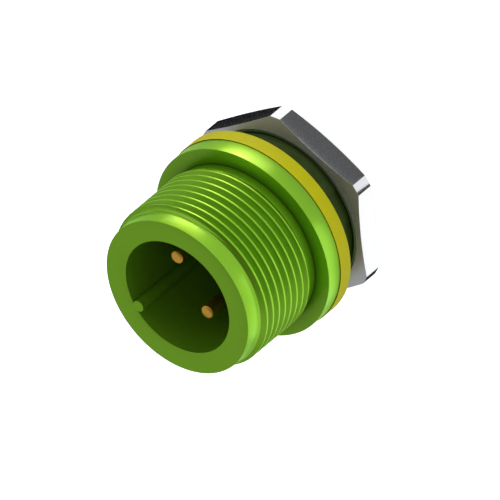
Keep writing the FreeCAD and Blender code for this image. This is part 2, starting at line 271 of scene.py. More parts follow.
def combine(piece: Piece, tool: Piece, how: Blend) -> None:
    """Join a tool to a solid or cut it out of one, and throw the tool away.

    Args:
        piece: The solid, which is changed.
        tool: A closed tool.
        how: Whether the tool is joined or cut out.
    """
    modifier = piece.modifiers.new(how.name.lower(), "BOOLEAN")
    modifier.operation = how.value
    modifier.solver = "EXACT"
    modifier.object = tool
    settle(piece)
    bpy.data.objects.remove(tool)
    mesh = bmesh.new()
    mesh.from_mesh(piece.data)
    bmesh.ops.remove_doubles(mesh, verts=mesh.verts[:], dist=CUT_WELD * MM)
    warn_if_open(mesh, piece.name)
    mesh.to_mesh(piece.data)
    mesh.free()
    shade(piece.data)


def make_prism(
    name: str, section: Sequence[tuple[float, float]], place: Callable[[float, float, int], Vector]
) -> Piece:
    """A straight solid between two copies of a section.

    Args:
        name: The object's name.
        section: The section's corners as pairs, in millimetres.
        place: Turns (u, v, end) into a point, where end is 0 or 1.

    Returns:
        The closed object.
    """
    mesh = bmesh.new()
    ends = [[mesh.verts.new(place(u, v, end) * MM) for u, v in section] for end in (0, 1)]
    for ring in ends:
        mesh.faces.new(ring)
    for i in range(len(section)):
        j = (i + 1) % len(section)
        mesh.faces.new((ends[0][i], ends[0][j], ends[1][j], ends[1][i]))
    return finish_mesh(mesh, name)


def dress(piece: Piece, material: Material, slot: str, *nodes: str) -> None:
    """Give a piece its material and its place in the frame.

    Args:
        piece: A finished object at the origin.
        material: The piece's only material.
        slot: The record's material slot; not used.
        nodes: The CAD nodes that the piece stands for.
    """
    piece.data.materials.clear()
    piece.data.materials.append(material)
    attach(piece, "root")
    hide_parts(*nodes)
    log.info("%s: %d faces", piece.name, len(piece.data.polygons))


def dress_node(name: str, material: Material) -> None:
    """Give a CAD node that stays its material.

    Args:
        name: The node's name.
        material: The node's only material.
    """
    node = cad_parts[name]
    node.data.materials.clear()
    node.data.materials.append(material)
    log.info("%s: CAD node, dressed", name)


# Node trees


def linear(code: str) -> tuple[float, float, float, float]:
    """Turn a colour into linear light.

    Args:
        code: The sRGB colour, written #RRGGBB.

    Returns:
        Its red, green and blue, and full cover.
    """
    parts = [int(code[i : i + 2], 16) / 255 for i in (1, 3, 5)]
    light = [c / 12.92 if c <= 0.04045 else ((c + 0.055) / 1.055) ** 2.4 for c in parts]
    return (light[0], light[1], light[2], 1.0)


def add_node(
    tree: Tree, kind: str, settings: dict | None = None, feeds: dict | None = None
) -> bpy.types.Node:
    """Add a node with its settings and what feeds it.

    Args:
        tree: The tree that gets the node.
        kind: The node's type.
        settings: Attributes to set.
        feeds: For each input's name or number, a socket to link or a constant.

    Returns:
        The node.
    """
    node = tree.nodes.new(kind)
    for key, value in (settings or {}).items():
        setattr(node, key, value)
    for key, value in (feeds or {}).items():
        if isinstance(value, Socket):
            tree.links.new(value, node.inputs[key])
        else:
            node.inputs[key].default_value = value
    return node


def new_material(name: str) -> tuple[Material, Tree]:
    """Make a material whose tree is still empty.

    Args:
        name: The material's name.

    Returns:
        The material and its tree.
    """
    material = bpy.data.materials.new(name)
    material.use_nodes = True
    material.node_tree.nodes.clear()
    return material, material.node_tree


def read_section(tree: Tree, place: Socket) -> tuple[Socket, Socket]:
    """Find how far a point lies from the Z axis, and how high it lies.

    Args:
        tree: The tree that gets the nodes.
        place: The point's coordinates.

    Returns:
        The sockets of the radius and of the height.
    """
    no_height = (1.0, 1.0, 0.0)
    flat = add_node(tree, "ShaderNodeVectorMath", {"operation": "MULTIPLY"}, {0: place, 1: no_height})
    radius = add_node(tree, "ShaderNodeVectorMath", {"operation": "LENGTH"}, {0: flat.outputs["Vector"]})
    height = add_node(tree, "ShaderNodeSeparateXYZ", feeds={0: place})
    return radius.outputs["Value"], height.outputs["Z"]


@dataclass(frozen=True)
class ThreadPlan:
    """A right-hand screw thread on a round body, with a lead-in at each end."""

    low: float
    high: float
    crest_radius: float
    low_radius: float
    low_run: float
    low_fade: float
    high_radius: float
    high_run: float
    high_fade: float
    start_turn: float
    pitch: float = 1.0
    depth: float = 0.55
    crest_share: float = 0.22  # of the pitch, as flank_share is
    flank_share: float = 0.39
    root_softness: float = 0.12


class ThreadTree:
    """Geometry Nodes tree that draws the outside of a threaded length as an open sleeve.

    A grid's rows follow the helix, so that crest and root stay crisp, and are held between the two ends.
    Each formula gives the name of its result, a Math operation and its terms.
    """

    ROWS_PER_TURN = 16
    FORMULAS = (
        ("across", "ADD", "grid_x", 0.5),
        ("along", "ADD", "grid_y", 0.5),
        ("all_rows", "SUBTRACT", "Rows", 1.0),
        ("row", "MULTIPLY", "along", "all_rows"),
        ("turns", "DIVIDE", "row", "Rows per turn"),
        ("lifted", "ADD", "turns", "across"),
        ("lifted_back", "SUBTRACT", "lifted", 1.0),
        ("rise", "MULTIPLY_ADD", "lifted_back", "Pitch", "Low"),
        ("capped", "MINIMUM", "rise", "High"),
        ("height", "MAXIMUM", "capped", "Low"),
        ("below", "SUBTRACT", "height", "Low"),
        ("above", "SUBTRACT", "High", "height"),
        ("low_way", "DIVIDE", "below", "Low run"),
        ("low_held", "MINIMUM", "low_way", 1.0),
        ("low_rise", "SUBTRACT", "Crest radius", "Low radius"),
        ("low_limit", "MULTIPLY_ADD", "low_held", "low_rise", "Low radius"),
        ("high_way", "DIVIDE", "above", "High run"),
        ("high_held", "MINIMUM", "high_way", 1.0),
        ("high_square", "MULTIPLY", "high_held", "high_held"),
        ("high_rest", "SUBTRACT", 1.0, "high_square"),
        ("high_root", "SQRT", "high_rest"),
        ("high_arc", "SUBTRACT", 1.0, "high_root"),
        ("high_rise", "SUBTRACT", "Crest radius", "High radius"),
        ("high_limit", "MULTIPLY_ADD", "high_arc", "high_rise", "High radius"),
        ("limit", "MINIMUM", "low_limit", "high_limit"),
        ("low_fading", "DIVIDE", "below", "Low fade"),
        ("low_depth", "MINIMUM", "low_fading", 1.0),
        ("high_fading", "DIVIDE", "above", "High fade"),
        ("high_depth", "MINIMUM", "high_fading", 1.0),
        ("fade", "MULTIPLY", "low_depth", "high_depth"),
        ("from_crest", "PINGPONG", "turns", 0.5),
        ("half_crest", "MULTIPLY", "Crest share", 0.5),
        ("down_flank", "SUBTRACT", "from_crest", "half_crest"),
        ("flank_way", "DIVIDE", "down_flank", "Flank share"),
        ("flank", "MAXIMUM", "flank_way", 0.0),
        ("groove", "SMOOTH_MIN", "flank", 1.0, "Root softness"),
        ("faded", "MULTIPLY", "groove", "fade"),
        ("cut", "MULTIPLY", "faded", "Depth"),
        ("thread", "SUBTRACT", "Crest radius", "cut"),
        ("radius", "MINIMUM", "thread", "limit"),
        ("started", "ADD", "across", "Start turn"),
        ("angle", "MULTIPLY", "started", TURN),
        ("cosine", "COSINE", "angle"),
        ("sine", "SINE", "angle"),
        ("x", "MULTIPLY", "radius", "cosine"),
        ("y", "MULTIPLY", "radius", "sine"),
    )
    LENGTHS = (
        "low", "low_radius", "low_run", "low_fade", "high", "high_radius", "high_run", "high_fade",
        "crest_radius", "pitch", "depth",
    )
    SHARES = ("crest_share", "flank_share", "root_softness", "start_turn")
    COUNTS = ("columns", "rows_per_turn", "rows")

    def __init__(self) -> None:
        """Build the tree once, for every thread."""
        self.tree = bpy.data.node_groups.new("threaded_sleeve", "GeometryNodeTree")
        face = self.tree.interface
        for key in (*self.LENGTHS, *self.SHARES):
            face.new_socket(self.label(key), in_out="INPUT", socket_type="NodeSocketFloat")
        for key in self.COUNTS:
            face.new_socket(self.label(key), in_out="INPUT", socket_type="NodeSocketInt")
        face.new_socket("Material", in_out="INPUT", socket_type="NodeSocketMaterial")
        face.new_socket("Geometry", in_out="OUTPUT", socket_type="NodeSocketGeometry")
        self.fill()

    @staticmethod
    def label(key: str) -> str:
        """The name that the tree shows for a size."""
        return key.replace("_", " ").capitalize()

    def fill(self) -> None:
        """Add the nodes: a grid, its formulas, and the closing steps."""
        tree = self.tree
        given = add_node(tree, "NodeGroupInput").outputs
        columns = add_node(tree, "ShaderNodeMath", {"operation": "ADD"}, {0: given["Columns"], 1: 1.0})
        counts = {"Vertices X": columns.outputs[0], "Vertices Y": given["Rows"]}
        grid = add_node(tree, "GeometryNodeMeshGrid", feeds=counts)
        place = add_node(tree, "GeometryNodeInputPosition")
        split = add_node(tree, "ShaderNodeSeparateXYZ", feeds={0: place.outputs[0]})
        known = {socket.name: socket for socket in given if socket.name}
        known |= {"grid_x": split.outputs["X"], "grid_y": split.outputs["Y"]}
        for name, operation, *terms in self.FORMULAS:
            feeds = {i: known.get(term, term) for i, term in enumerate(terms)}
            known[name] = add_node(tree, "ShaderNodeMath", {"operation": operation}, feeds).outputs[0]
        point = {"X": known["x"], "Y": known["y"], "Z": known["height"]}
        joined = add_node(tree, "ShaderNodeCombineXYZ", feeds=point)
        bent = {"Geometry": grid.outputs["Mesh"], "Position": joined.outputs[0]}
        moved = add_node(tree, "GeometryNodeSetPosition", feeds=bent)
        near = {"Geometry": moved.outputs[0], "Distance": WELD * MM}
        welded = add_node(tree, "GeometryNodeMergeByDistance", feeds=near)
        real = add_node(tree, "GeometryNodeRealizeInstances", feeds={"Geometry": welded.outputs[0]})
        skin = {"Geometry": real.outputs[0], "Material": given["Material"]}
        coated = add_node(tree, "GeometryNodeSetMaterial", feeds=skin)
        add_node(tree, "NodeGroupOutput", feeds={"Geometry": coated.outputs[0]})

    def add_to(self, mesh: bmesh.types.BMesh, plan: ThreadPlan, material: Material) -> None:
        """Draw one thread and add its faces to a mesh.

        Args:
            mesh: The mesh of the whole shell.
            plan: The thread's sizes.
            material: The shell's material.
        """
        sleeve = place_object("sleeve", bpy.data.meshes.new("sleeve"))
        modifier = sleeve.modifiers.new("thread", "NODES")
        modifier.node_group = self.tree
        turns = math.ceil((plan.high - plan.low) / plan.pitch) + 1
        values = {self.label(key): getattr(plan, key) * MM for key in self.LENGTHS}
        values |= {self.label(key): getattr(plan, key) for key in self.SHARES}
        values |= {
            "Columns": COLUMNS,
            "Rows per turn": self.ROWS_PER_TURN,
            "Rows": self.ROWS_PER_TURN * turns + 1,
            "Material": material,
        }
        for item in self.tree.interface.items_tree:
            if item.in_out == "INPUT":
                modifier[item.identifier] = values[item.name]
        settle(sleeve)
        mesh.from_mesh(sleeve.data)
        bpy.data.objects.remove(sleeve)


# Finishes


class PaintedShadeRing(NamedTuple):
    """A ring-shaped inside corner or gap towards which the finish is darkened with painted shade, in
    millimetres.
    """

    radius: float
    height: float
    core: float
    reach: float
    squeeze: float = 1.0  # how many times sooner the painted shade ends along the axis than away from it


@dataclass(frozen=True)
class Finish:
    """What every finish holds: a material built on Principled BSDF that reads Object coordinates."""

    name: str
    colour: str
    second_colour: str
    mottle: float  # width of the soft colour patches, mm
    roughness: float
    roughness_range: float
    grain: float  # width of the finest bumps, mm
    grain_height: float  # mm
    metallic: float = 0.0
    # painted shade: rings towards which the colour darkens, for shade in corners and gaps
    painted_shade_rings: tuple[PaintedShadeRing, ...] = ()
    painted_shade_colour: str = "#2A3B08"  # the painted shade's colour at a ring's core
    painted_shade_ease: float = 0.3  # a power; the lower, the closer the painted shade keeps to its ring
    noise_low: float = 0.3  # nearly all of a noise lies between these two
    noise_high: float = 0.7

    def build(self) -> Material:
        """Make the material.

        Returns:
            The finished material.
        """
        material, tree = new_material(self.name)
        place = add_node(tree, "ShaderNodeTexCoord").outputs["Object"]
        patches = add_node(
            tree,
            "ShaderNodeTexNoise",
            feeds={"Vector": place, "Scale": 1 / (self.mottle * MM), "Detail": 2.0},
        )
        shades = {"A": linear(self.colour), "B": linear(self.second_colour)}
        mixed = add_node(
            tree, "ShaderNodeMix", {"data_type": "RGBA"}, {"Factor": patches.outputs[0]} | shades
        )
        colour = mixed.outputs["Result"]
        # Painted shade: the colour darkens towards each ring, for shade in corners and gaps.
        for painted_shade_ring in self.painted_shade_rings:
            colour = self.paint_shade(tree, place, colour, painted_shade_ring)
        grain = add_node(
            tree,
            "ShaderNodeTexNoise",
            feeds={"Vector": self.lay(tree, place), "Scale": 1 / (self.grain * MM), "Detail": 1.0},
        ).outputs[0]
        roughness = add_node(
            tree,
            "ShaderNodeMapRange",
            feeds={
                "Value": grain,
                "From Min": self.noise_low,
                "From Max": self.noise_high,
                "To Min": self.roughness - self.roughness_range,
                "To Max": self.roughness + self.roughness_range,
            },
        )
        bump = add_node(
            tree,
            "ShaderNodeBump",
            feeds={"Strength": 1.0, "Distance": self.grain_height * MM, "Height": grain},
        )
        shader = add_node(
            tree,
            "ShaderNodeBsdfPrincipled",
            feeds={
                "Base Color": colour,
                "Metallic": self.metallic,
                "Roughness": roughness.outputs["Result"],
                "Normal": bump.outputs["Normal"],
            },
        )
        self.gloss(tree, place, shader)
        add_node(tree, "ShaderNodeOutputMaterial", feeds={"Surface": shader.outputs[0]})
        return material

    def lay(self, tree: Tree, place: Socket) -> Socket:
        """The coordinates of the fine grain: the object's own, as on a moulded or plated skin."""
        return place

    def paint_shade(self, tree: Tree, place: Socket, colour: Socket, painted_shade_ring: PaintedShadeRing) -> Socket:
        """Let a colour fade into painted shade towards an inside corner or gap.

        Args:
            tree: The material's tree.
            place: The object's coordinates.
            colour: The colour without the painted shade.
            painted_shade_ring: The ring that the painted shade darkens towards.

        Returns:
            The colour with the painted shade.
        """
        radius, height = read_section(tree, place)
        squeeze = {0: height, 1: painted_shade_ring.squeeze}
        squeezed = add_node(tree, "ShaderNodeMath", {"operation": "MULTIPLY"}, squeeze)
        section = add_node(
            tree, "ShaderNodeCombineXYZ", feeds={"X": radius, "Z": squeezed.outputs[0]}
        )
        middle = (painted_shade_ring.radius * MM, 0.0, painted_shade_ring.height * painted_shade_ring.squeeze * MM)
        away = add_node(
            tree, "ShaderNodeVectorMath", {"operation": "DISTANCE"}, {0: section.outputs[0], 1: middle}
        )
        ends = {"From Min": painted_shade_ring.core * MM, "From Max": painted_shade_ring.reach * MM}
        unshaded = add_node(tree, "ShaderNodeMapRange", feeds={"Value": away.outputs["Value"]} | ends)
        ease = {0: unshaded.outputs["Result"], 1: self.painted_shade_ease}
        eased = add_node(tree, "ShaderNodeMath", {"operation": "POWER"}, ease)
        shades = {"Factor": eased.outputs[0], "A": linear(self.painted_shade_colour), "B": colour}
        return add_node(tree, "ShaderNodeMix", {"data_type": "RGBA"}, shades).outputs["Result"]

    def gloss(self, tree: Tree, place: Socket, shader: bpy.types.Node) -> None:
        """Set what else the shader needs; a plain finish needs nothing."""


@dataclass(frozen=True)
class TurnedFinish(Finish):
    """A finish on turned metal, whose grain runs round the axis in fine rings."""

    grazing: str = WHITE
    coat: float = 0.0
    coat_roughness: float = 0.25
    coat_ior: float = 1.5

    def lay(self, tree: Tree, place: Socket) -> Socket:
        """Coordinates that are the same all the way round the axis, so that noise becomes tool rings."""
        radius, height = read_section(tree, place)
        return add_node(tree, "ShaderNodeCombineXYZ", feeds={"X": radius, "Z": height}).outputs[0]

    def gloss(self, tree: Tree, place: Socket, shader: bpy.types.Node) -> None:
        """Set the metal's tint at grazing angles, and a thin clear layer over it.

        Args:
            tree: The material's tree; not used.
            place: The object's coordinates; not used.
            shader: The shader.
        """
        shader.inputs["Specular Tint"].default_value = linear(self.grazing)
        shader.inputs["Coat Weight"].default_value = self.coat
        shader.inputs["Coat Roughness"].default_value = self.coat_roughness
        shader.inputs["Coat IOR"].default_value = self.coat_ior


@dataclass(frozen=True)
class FacedFinish(Finish):
    """A bright finish whose two turned, sloping faces are left satin."""

    middle: float = 0.0  # height of the piece's middle, mm
    half: float = 1.0  # from the middle to the face at its start, mm
    start: float = 1.0  # radius at which the face begins to slope, mm
    slope: float = 0.2
    face_roughness: float = 0.4
    face_metallic: float = 0.9
    satin_from: float = 0.03  # how deep under the slope the satin begins, mm
    satin_full: float = 0.01

    def gloss(self, tree: Tree, place: Socket, shader: bpy.types.Node) -> None:
        """Make the turned faces rougher than the flats.

        Args:
            tree: The material's tree.
            place: The object's coordinates.
            shader: The shader, with its roughness already linked.
        """
        radius, height = read_section(tree, place)
        lifted = {0: height, 1: self.middle * MM}
        level = add_node(tree, "ShaderNodeMath", {"operation": "SUBTRACT"}, lifted)
        away = add_node(tree, "ShaderNodeMath", {"operation": "ABSOLUTE"}, {0: level.outputs[0]})
        sloped = {0: radius, 1: self.slope, 2: away.outputs[0]}
        reach = add_node(tree, "ShaderNodeMath", {"operation": "MULTIPLY_ADD"}, sloped)
        surface = self.half + self.slope * self.start
        polished = shader.inputs["Roughness"].links[0].from_socket
        for name, flat, face in (
            ("Metallic", self.metallic, self.face_metallic),
            ("Roughness", polished, self.face_roughness),
        ):
            ends = {
                "Value": reach.outputs[0],
                "From Min": (surface - self.satin_from) * MM,
                "From Max": (surface - self.satin_full) * MM,
                "To Min": flat,
                "To Max": face,
            }
            blended = add_node(tree, "ShaderNodeMapRange", feeds=ends)
            tree.links.new(blended.outputs["Result"], shader.inputs[name])


@dataclass(frozen=True)
class RubberFinish(Finish):
    """A finish on moulded rubber, with a faint bloom at grazing angles."""

    sheen: float = 0.1
    mirror: float = 0.1

    def gloss(self, tree: Tree, place: Socket, shader: bpy.types.Node) -> None:
        """A soft sheen and a weaker reflection than hard plastic's."""
        shader.inputs["Sheen Weight"].default_value = self.sheen
        shader.inputs["Specular IOR Level"].default_value = self.mirror


# Painted shade: at the neck's foot and over the flange face near it, on the bare barrel between the gasket
# and the nut, and in a thin dark line where the gasket meets the flange.
NECK_FOOT_SHADE = PaintedShadeRing(radius=9.15, height=10.4, core=0.02, reach=2.0, squeeze=5.0)
BARREL_GAP_SHADE = PaintedShadeRing(radius=9.0, height=5.3, core=1.75, reach=6.0)
GASKET_JOINT_SHADE = PaintedShadeRing(radius=10.85, height=8.5, core=0.1, reach=0.14)
# Anodised aluminium: a dyed oxide skin on satin metal, so reflections take the dye's green and stay broad.
GREEN_ANODISED = TurnedFinish(
    name="green_anodised_aluminium",
    colour="#76AA20",
    second_colour="#71A51D",
    mottle=3.0,
    roughness=0.35,
    roughness_range=0.03,
    grain=0.12,
    grain_height=0.0006,
    metallic=0.88,
    grazing="#C4EA60",
    coat=0.17,
    coat_roughness=0.2,
    coat_ior=1.77,
    # painted shade at the neck's foot and on the barrel between the gasket and the nut
    painted_shade_rings=(NECK_FOOT_SHADE, BARREL_GAP_SHADE),
)
# Nickel plate on a nut drawn from bright bar: mirror flats, and satin faces where it was turned.
# The heights and radii are the lock nut's.
NICKEL_PLATE = FacedFinish(
    name="bright_nickel_plate",
    colour="#C2C3C6",
    second_colour="#BBBDC0",
    mottle=2.0,
    roughness=0.13,
    roughness_range=0.01,
    grain=0.25,
    grain_height=0.00003,
    metallic=0.98,
    middle=2.375,
    half=1.425,
    start=9.45,
    slope=0.2353,
    face_roughness=0.38,
    face_metallic=0.92,
)
# Gold flash on turned brass: warm metal with soft highlights.
GOLD_PLATE = TurnedFinish(
    name="gold_plated_brass",
    colour="#E0A94C",
    second_colour="#D89F42",
    mottle=0.8,
    roughness=0.32,
    roughness_range=0.04,
    grain=0.06,
    grain_height=0.0004,
    metallic=1.0,
)
# Moulded silicone rubber: an even yellow skin with hardly any shine.
YELLOW_SILICONE = RubberFinish(
    name="yellow_silicone_rubber",
    colour="#A3A00A",
    second_colour="#9E9A09",
    mottle=1.5,
    roughness=0.7,
    roughness_range=0.05,
    grain=0.15,
    grain_height=0.002,
    sheen=0.0,
    # painted shade: a thin dark line where the gasket meets the flange
    painted_shade_rings=(GASKET_JOINT_SHADE,),
    painted_shade_colour="#1E2606",
)
# Nitrile rubber: matt black with a dry, faintly grey bloom.
BLACK_NITRILE = RubberFinish(
    name="black_nitrile_rubber",
    colour="#161616",
    second_colour="#1D1D1C",
    mottle=1.0,
    roughness=0.62,
    roughness_range=0.06,
    grain=0.12,
    grain_height=0.003,
    sheen=0.2,
)
# Glass-filled nylon: black moulded plastic whose short fibres leave a fine orange-peel skin.
BLACK_NYLON = Finish(
    name="black_glass_filled_nylon",
    colour="#1A1B19",
    second_colour="#232421",
    mottle=0.6,
    roughness=0.46,
    roughness_range=0.08,
    grain=0.18,
    grain_height=0.003,
)


# Sub-assemblies


@dataclass
class Shell:
    """One turned aluminium piece: nose, coupling thread, neck, flange, barrel and the cavity with its key."""

    crest_radius: float = 9.5
    nose_radius: float = 8.925
    nose_length: float = 2.2
    fillet_length: float = 0.7
    neck_radius: float = 9.15
    neck_length: float = 1.1
    neck_runout: float = 0.6  # over this share of a pitch the thread ends at the neck
    barrel_radius: float = 9.0
    rear_thread_end: float = 3.7
    rear_thread_lead: float = 0.3  # over this length the thread grows to its full depth
    rear_thread_runout: float = 0.5
    rear_thread_start: float = 0.25  # the turn at which it starts
    rear_chamfer: float = 0.5
    flange_thickness: float = 1.9
    flange_edge: float = 0.04
    mouth_radius: float = 6.525
    mouth_edge: float = 0.05
    collar_radius: float = 5.9
    collar_thickness: float = 1.2
    rear_bore_radius: float = 7.0
    rear_bore_chamfer: float = 0.25
    key_radius: float = 0.625
    key_inset: float = 0.465
    key_columns: int = 48
    lock_slot_half_width: float = 0.75
    lock_slot_depth: float = 0.5
    lock_slot_clearance: float = 0.05
    lock_slot_height: float = 0.75
    thread_start: float = 0.21  # from the neck's front end to the groove's middle, on the +X line

    def build(self, threads: ThreadTree, material: Material) -> None:
        """Draw both threads and the plain surfaces, weld them, and add the key and the lock slot.

        Args:
            threads: The tree that draws a thread.
            material: The shell's material.
        """
        low, high = box_of("shell")
        mouth, flange_radius = high.z, high.x
        floor = box_of("front_insulator")[1].z
        flange_rear = box_of("panel_gasket")[1].z
        flange_front = flange_rear + self.flange_thickness
        neck_front = flange_front + self.neck_length
        nose_foot = mouth - self.nose_length + self.fillet_length
        mesh = bmesh.new()
        threads.add_to(mesh, self.coupling_thread(neck_front, nose_foot), material)
        threads.add_to(mesh, self.rear_thread(low.z), material)
        collar_rear = floor - self.collar_thickness
        inside = [
            Corner(self.nose_radius, nose_foot),
            Corner(self.nose_radius, mouth, self.mouth_edge),
            Corner(self.mouth_radius, mouth, self.mouth_edge),
            Corner(self.mouth_radius, floor),
            Corner(self.collar_radius, floor),
            Corner(self.collar_radius, collar_rear),
            Corner(self.rear_bore_radius, collar_rear),
            Corner(self.rear_bore_radius, low.z + self.rear_bore_chamfer),
            Corner(self.rear_bore_radius + self.rear_bore_chamfer, low.z),
            Corner(self.barrel_radius - self.rear_chamfer, low.z),
        ]
        outside = [
            Corner(self.barrel_radius, low.z + self.rear_thread_end),
            Corner(self.barrel_radius, flange_rear),
            Corner(flange_radius, flange_rear, self.flange_edge),
            Corner(flange_radius, flange_front, self.flange_edge),
            Corner(self.neck_radius, flange_front),
            Corner(self.neck_radius, neck_front),
        ]
        for outline in (inside, outside):
            add_band(mesh, [circle(r, z) for r, z in soften(outline, closed=False)])
        shell = finish_mesh(mesh, "shell_turned")
        combine(shell, self.key_rib(floor, mouth), Blend.JOIN)
        combine(shell, self.lock_slot(collar_rear), Blend.CUT)
        dress(shell, material, "green_shell", "shell")

    def coupling_thread(self, low: float, high: float) -> ThreadPlan:
        """The thread from the neck up to the nose, whose hollow fillet it runs into.

        Args:
            low: The neck's front end.
            high: Where the nose turns straight.

        Returns:
            The thread's plan.
        """
        pitch = ThreadPlan.pitch
        start = 0.5 - self.thread_start / pitch
        return ThreadPlan(
            low=low,
            high=high,
            crest_radius=self.crest_radius,
            low_radius=self.neck_radius,
            low_run=self.crest_radius - self.neck_radius,
            low_fade=self.neck_runout * pitch,
            high_radius=self.nose_radius,
            high_run=self.fillet_length,
            high_fade=WELD,
            start_turn=round(start % 1.0 * COLUMNS) / COLUMNS,
        )

    def rear_thread(self, rear: float) -> ThreadPlan:
        """The thread on the barrel's rear end, which carries the lock nut.

        Args:
            rear: The barrel's rear end.

        Returns:
            The thread's plan.
        """
        return ThreadPlan(
            low=rear,
            high=rear + self.rear_thread_end,
            crest_radius=self.barrel_radius,
            low_radius=self.barrel_radius - self.rear_chamfer,
            low_run=self.rear_chamfer,
            low_fade=self.rear_thread_lead,
            high_radius=self.barrel_radius,
            high_run=WELD,
            high_fade=self.rear_thread_runout,
            start_turn=self.rear_thread_start,
        )

    def key_rib(self, floor: float, mouth: float) -> Piece:
        """Make the round rib on the cavity's wall, flush with the mouth.

        Args:
            floor: The height of the cavity's floor.
            mouth: The height of the mouth.

        Returns:
            The rib.
        """
        middle = self.mouth_radius - self.key_inset
        rim = circle(self.key_radius, 0.0, self.key_columns)
        section = [(point.x, middle + point.y) for point in rim]
        return make_prism("key_rib", section, lambda x, y, end: Vector((x, y, mouth if end else floor)))

    def lock_slot(self, collar_rear: float) -> Piece:
        """Make the cutter of the notch in the collar's rear face, which the front insulator's key fills.

        Args:
            collar_rear: The height of the collar's rear face.

        Returns:
            The cutter.
        """
        half, deep = self.lock_slot_half_width, self.lock_slot_depth
        inner = self.collar_radius - 2 * deep
        outer = self.collar_radius + deep + self.lock_slot_clearance
        section = [(-half, -outer), (half, -outer), (half, -inner), (-half, -inner)]
        ends = (collar_rear - deep, collar_rear + self.lock_slot_height)
        return make_prism("lock_slot", section, lambda x, y, end: Vector((x, y, ends[end])))


@dataclass
class LockNut:
    """Thin hexagon nut with turned corners, a chamfer on both faces and countersunk thread entries."""

    face_radius: float = 9.45
    chamfer_height: float = 0.4
    bore_radius: float = 9.05
    countersink: float = 0.06
    flats: int = 6
    flat_columns: int = 30
    corner_columns: int = 6
    sharp: float = 12.0  # degrees

    def build(self, material: Material) -> None:
        """Draw the nut from loops that follow its hexagon.

        Args:
            material: The nut's material.
        """
        low, high = box_of("lock_nut")
        flat_radius, corner_radius = high.x, high.y
        angles = self.angles(math.acos(flat_radius / corner_radius))
        slope = self.chamfer_height / (corner_radius - self.face_radius)
        sixth = TURN / self.flats

        def level(radius: float, height: float) -> list[Vector]:
            """A level circle with the nut's own columns."""
            return [polar(radius, angle, height) for angle in angles]

        def side_loop(front: bool) -> list[Vector]:
            """Draw the edge where a chamfer meets the nut's side.

            Args:
                front: Whether it is the front chamfer.

            Returns:
                The edge's points.
            """
            loop = []
            for angle in angles:
                from_flat = (angle + sixth / 2) % sixth - sixth / 2
                radius = min(corner_radius, flat_radius / math.cos(from_flat))
                fall = slope * (radius - self.face_radius)
                loop.append(polar(radius, angle, high.z - fall if front else low.z + fall))
            return loop

        sink = self.countersink
        loops = [
            level(self.bore_radius, high.z - sink),
            level(self.bore_radius + sink, high.z),
            level(self.face_radius, high.z),
            side_loop(True),
            side_loop(False),
            level(self.face_radius, low.z),
            level(self.bore_radius + sink, low.z),
            level(self.bore_radius, low.z + sink),
        ]
        mesh = bmesh.new()
        add_band(mesh, loops, closed=True)
        nut = finish_mesh(mesh, "lock_nut_plated", math.radians(self.sharp))
        dress(nut, material, "plated_nut", "lock_nut")

    def angles(self, half_flat: float) -> list[float]:
        """Columns that land on every edge between a flat and a turned corner.

        Args:
            half_flat: Half the angle that one flat spans.

        Returns:
            The columns' angles for a full turn.
        """
        found = []
        corner = TURN / self.flats - 2 * half_flat
        for flat in range(self.flats):
            middle = TURN * flat / self.flats
            for step in range(self.flat_columns):
                found.append(middle - half_flat + 2 * half_flat * step / self.flat_columns)
            for step in range(self.corner_columns):
                found.append(middle + half_flat + corner * step / self.corner_columns)
        return found


@dataclass
class PanelGasket:
    """Flat moulded ring between the flange and the panel."""

    bore_radius: float = 9.05
    outer_rounding: float = 0.07
    inner_rounding: float = 0.08

    def build(self, material: Material) -> None:
        """Turn the ring with its moulded edges.

        Args:
            material: The ring's material.
        """
        low, high = box_of("panel_gasket")
        outline = [
            Corner(self.bore_radius, low.z, self.inner_rounding),
            Corner(high.x, low.z, self.outer_rounding),
            Corner(high.x, high.z, self.outer_rounding),
            Corner(self.bore_radius, high.z, self.inner_rounding),
        ]
        dress(turn_piece("panel_gasket_moulded", outline), material, "yellow_rubber", "panel_gasket")


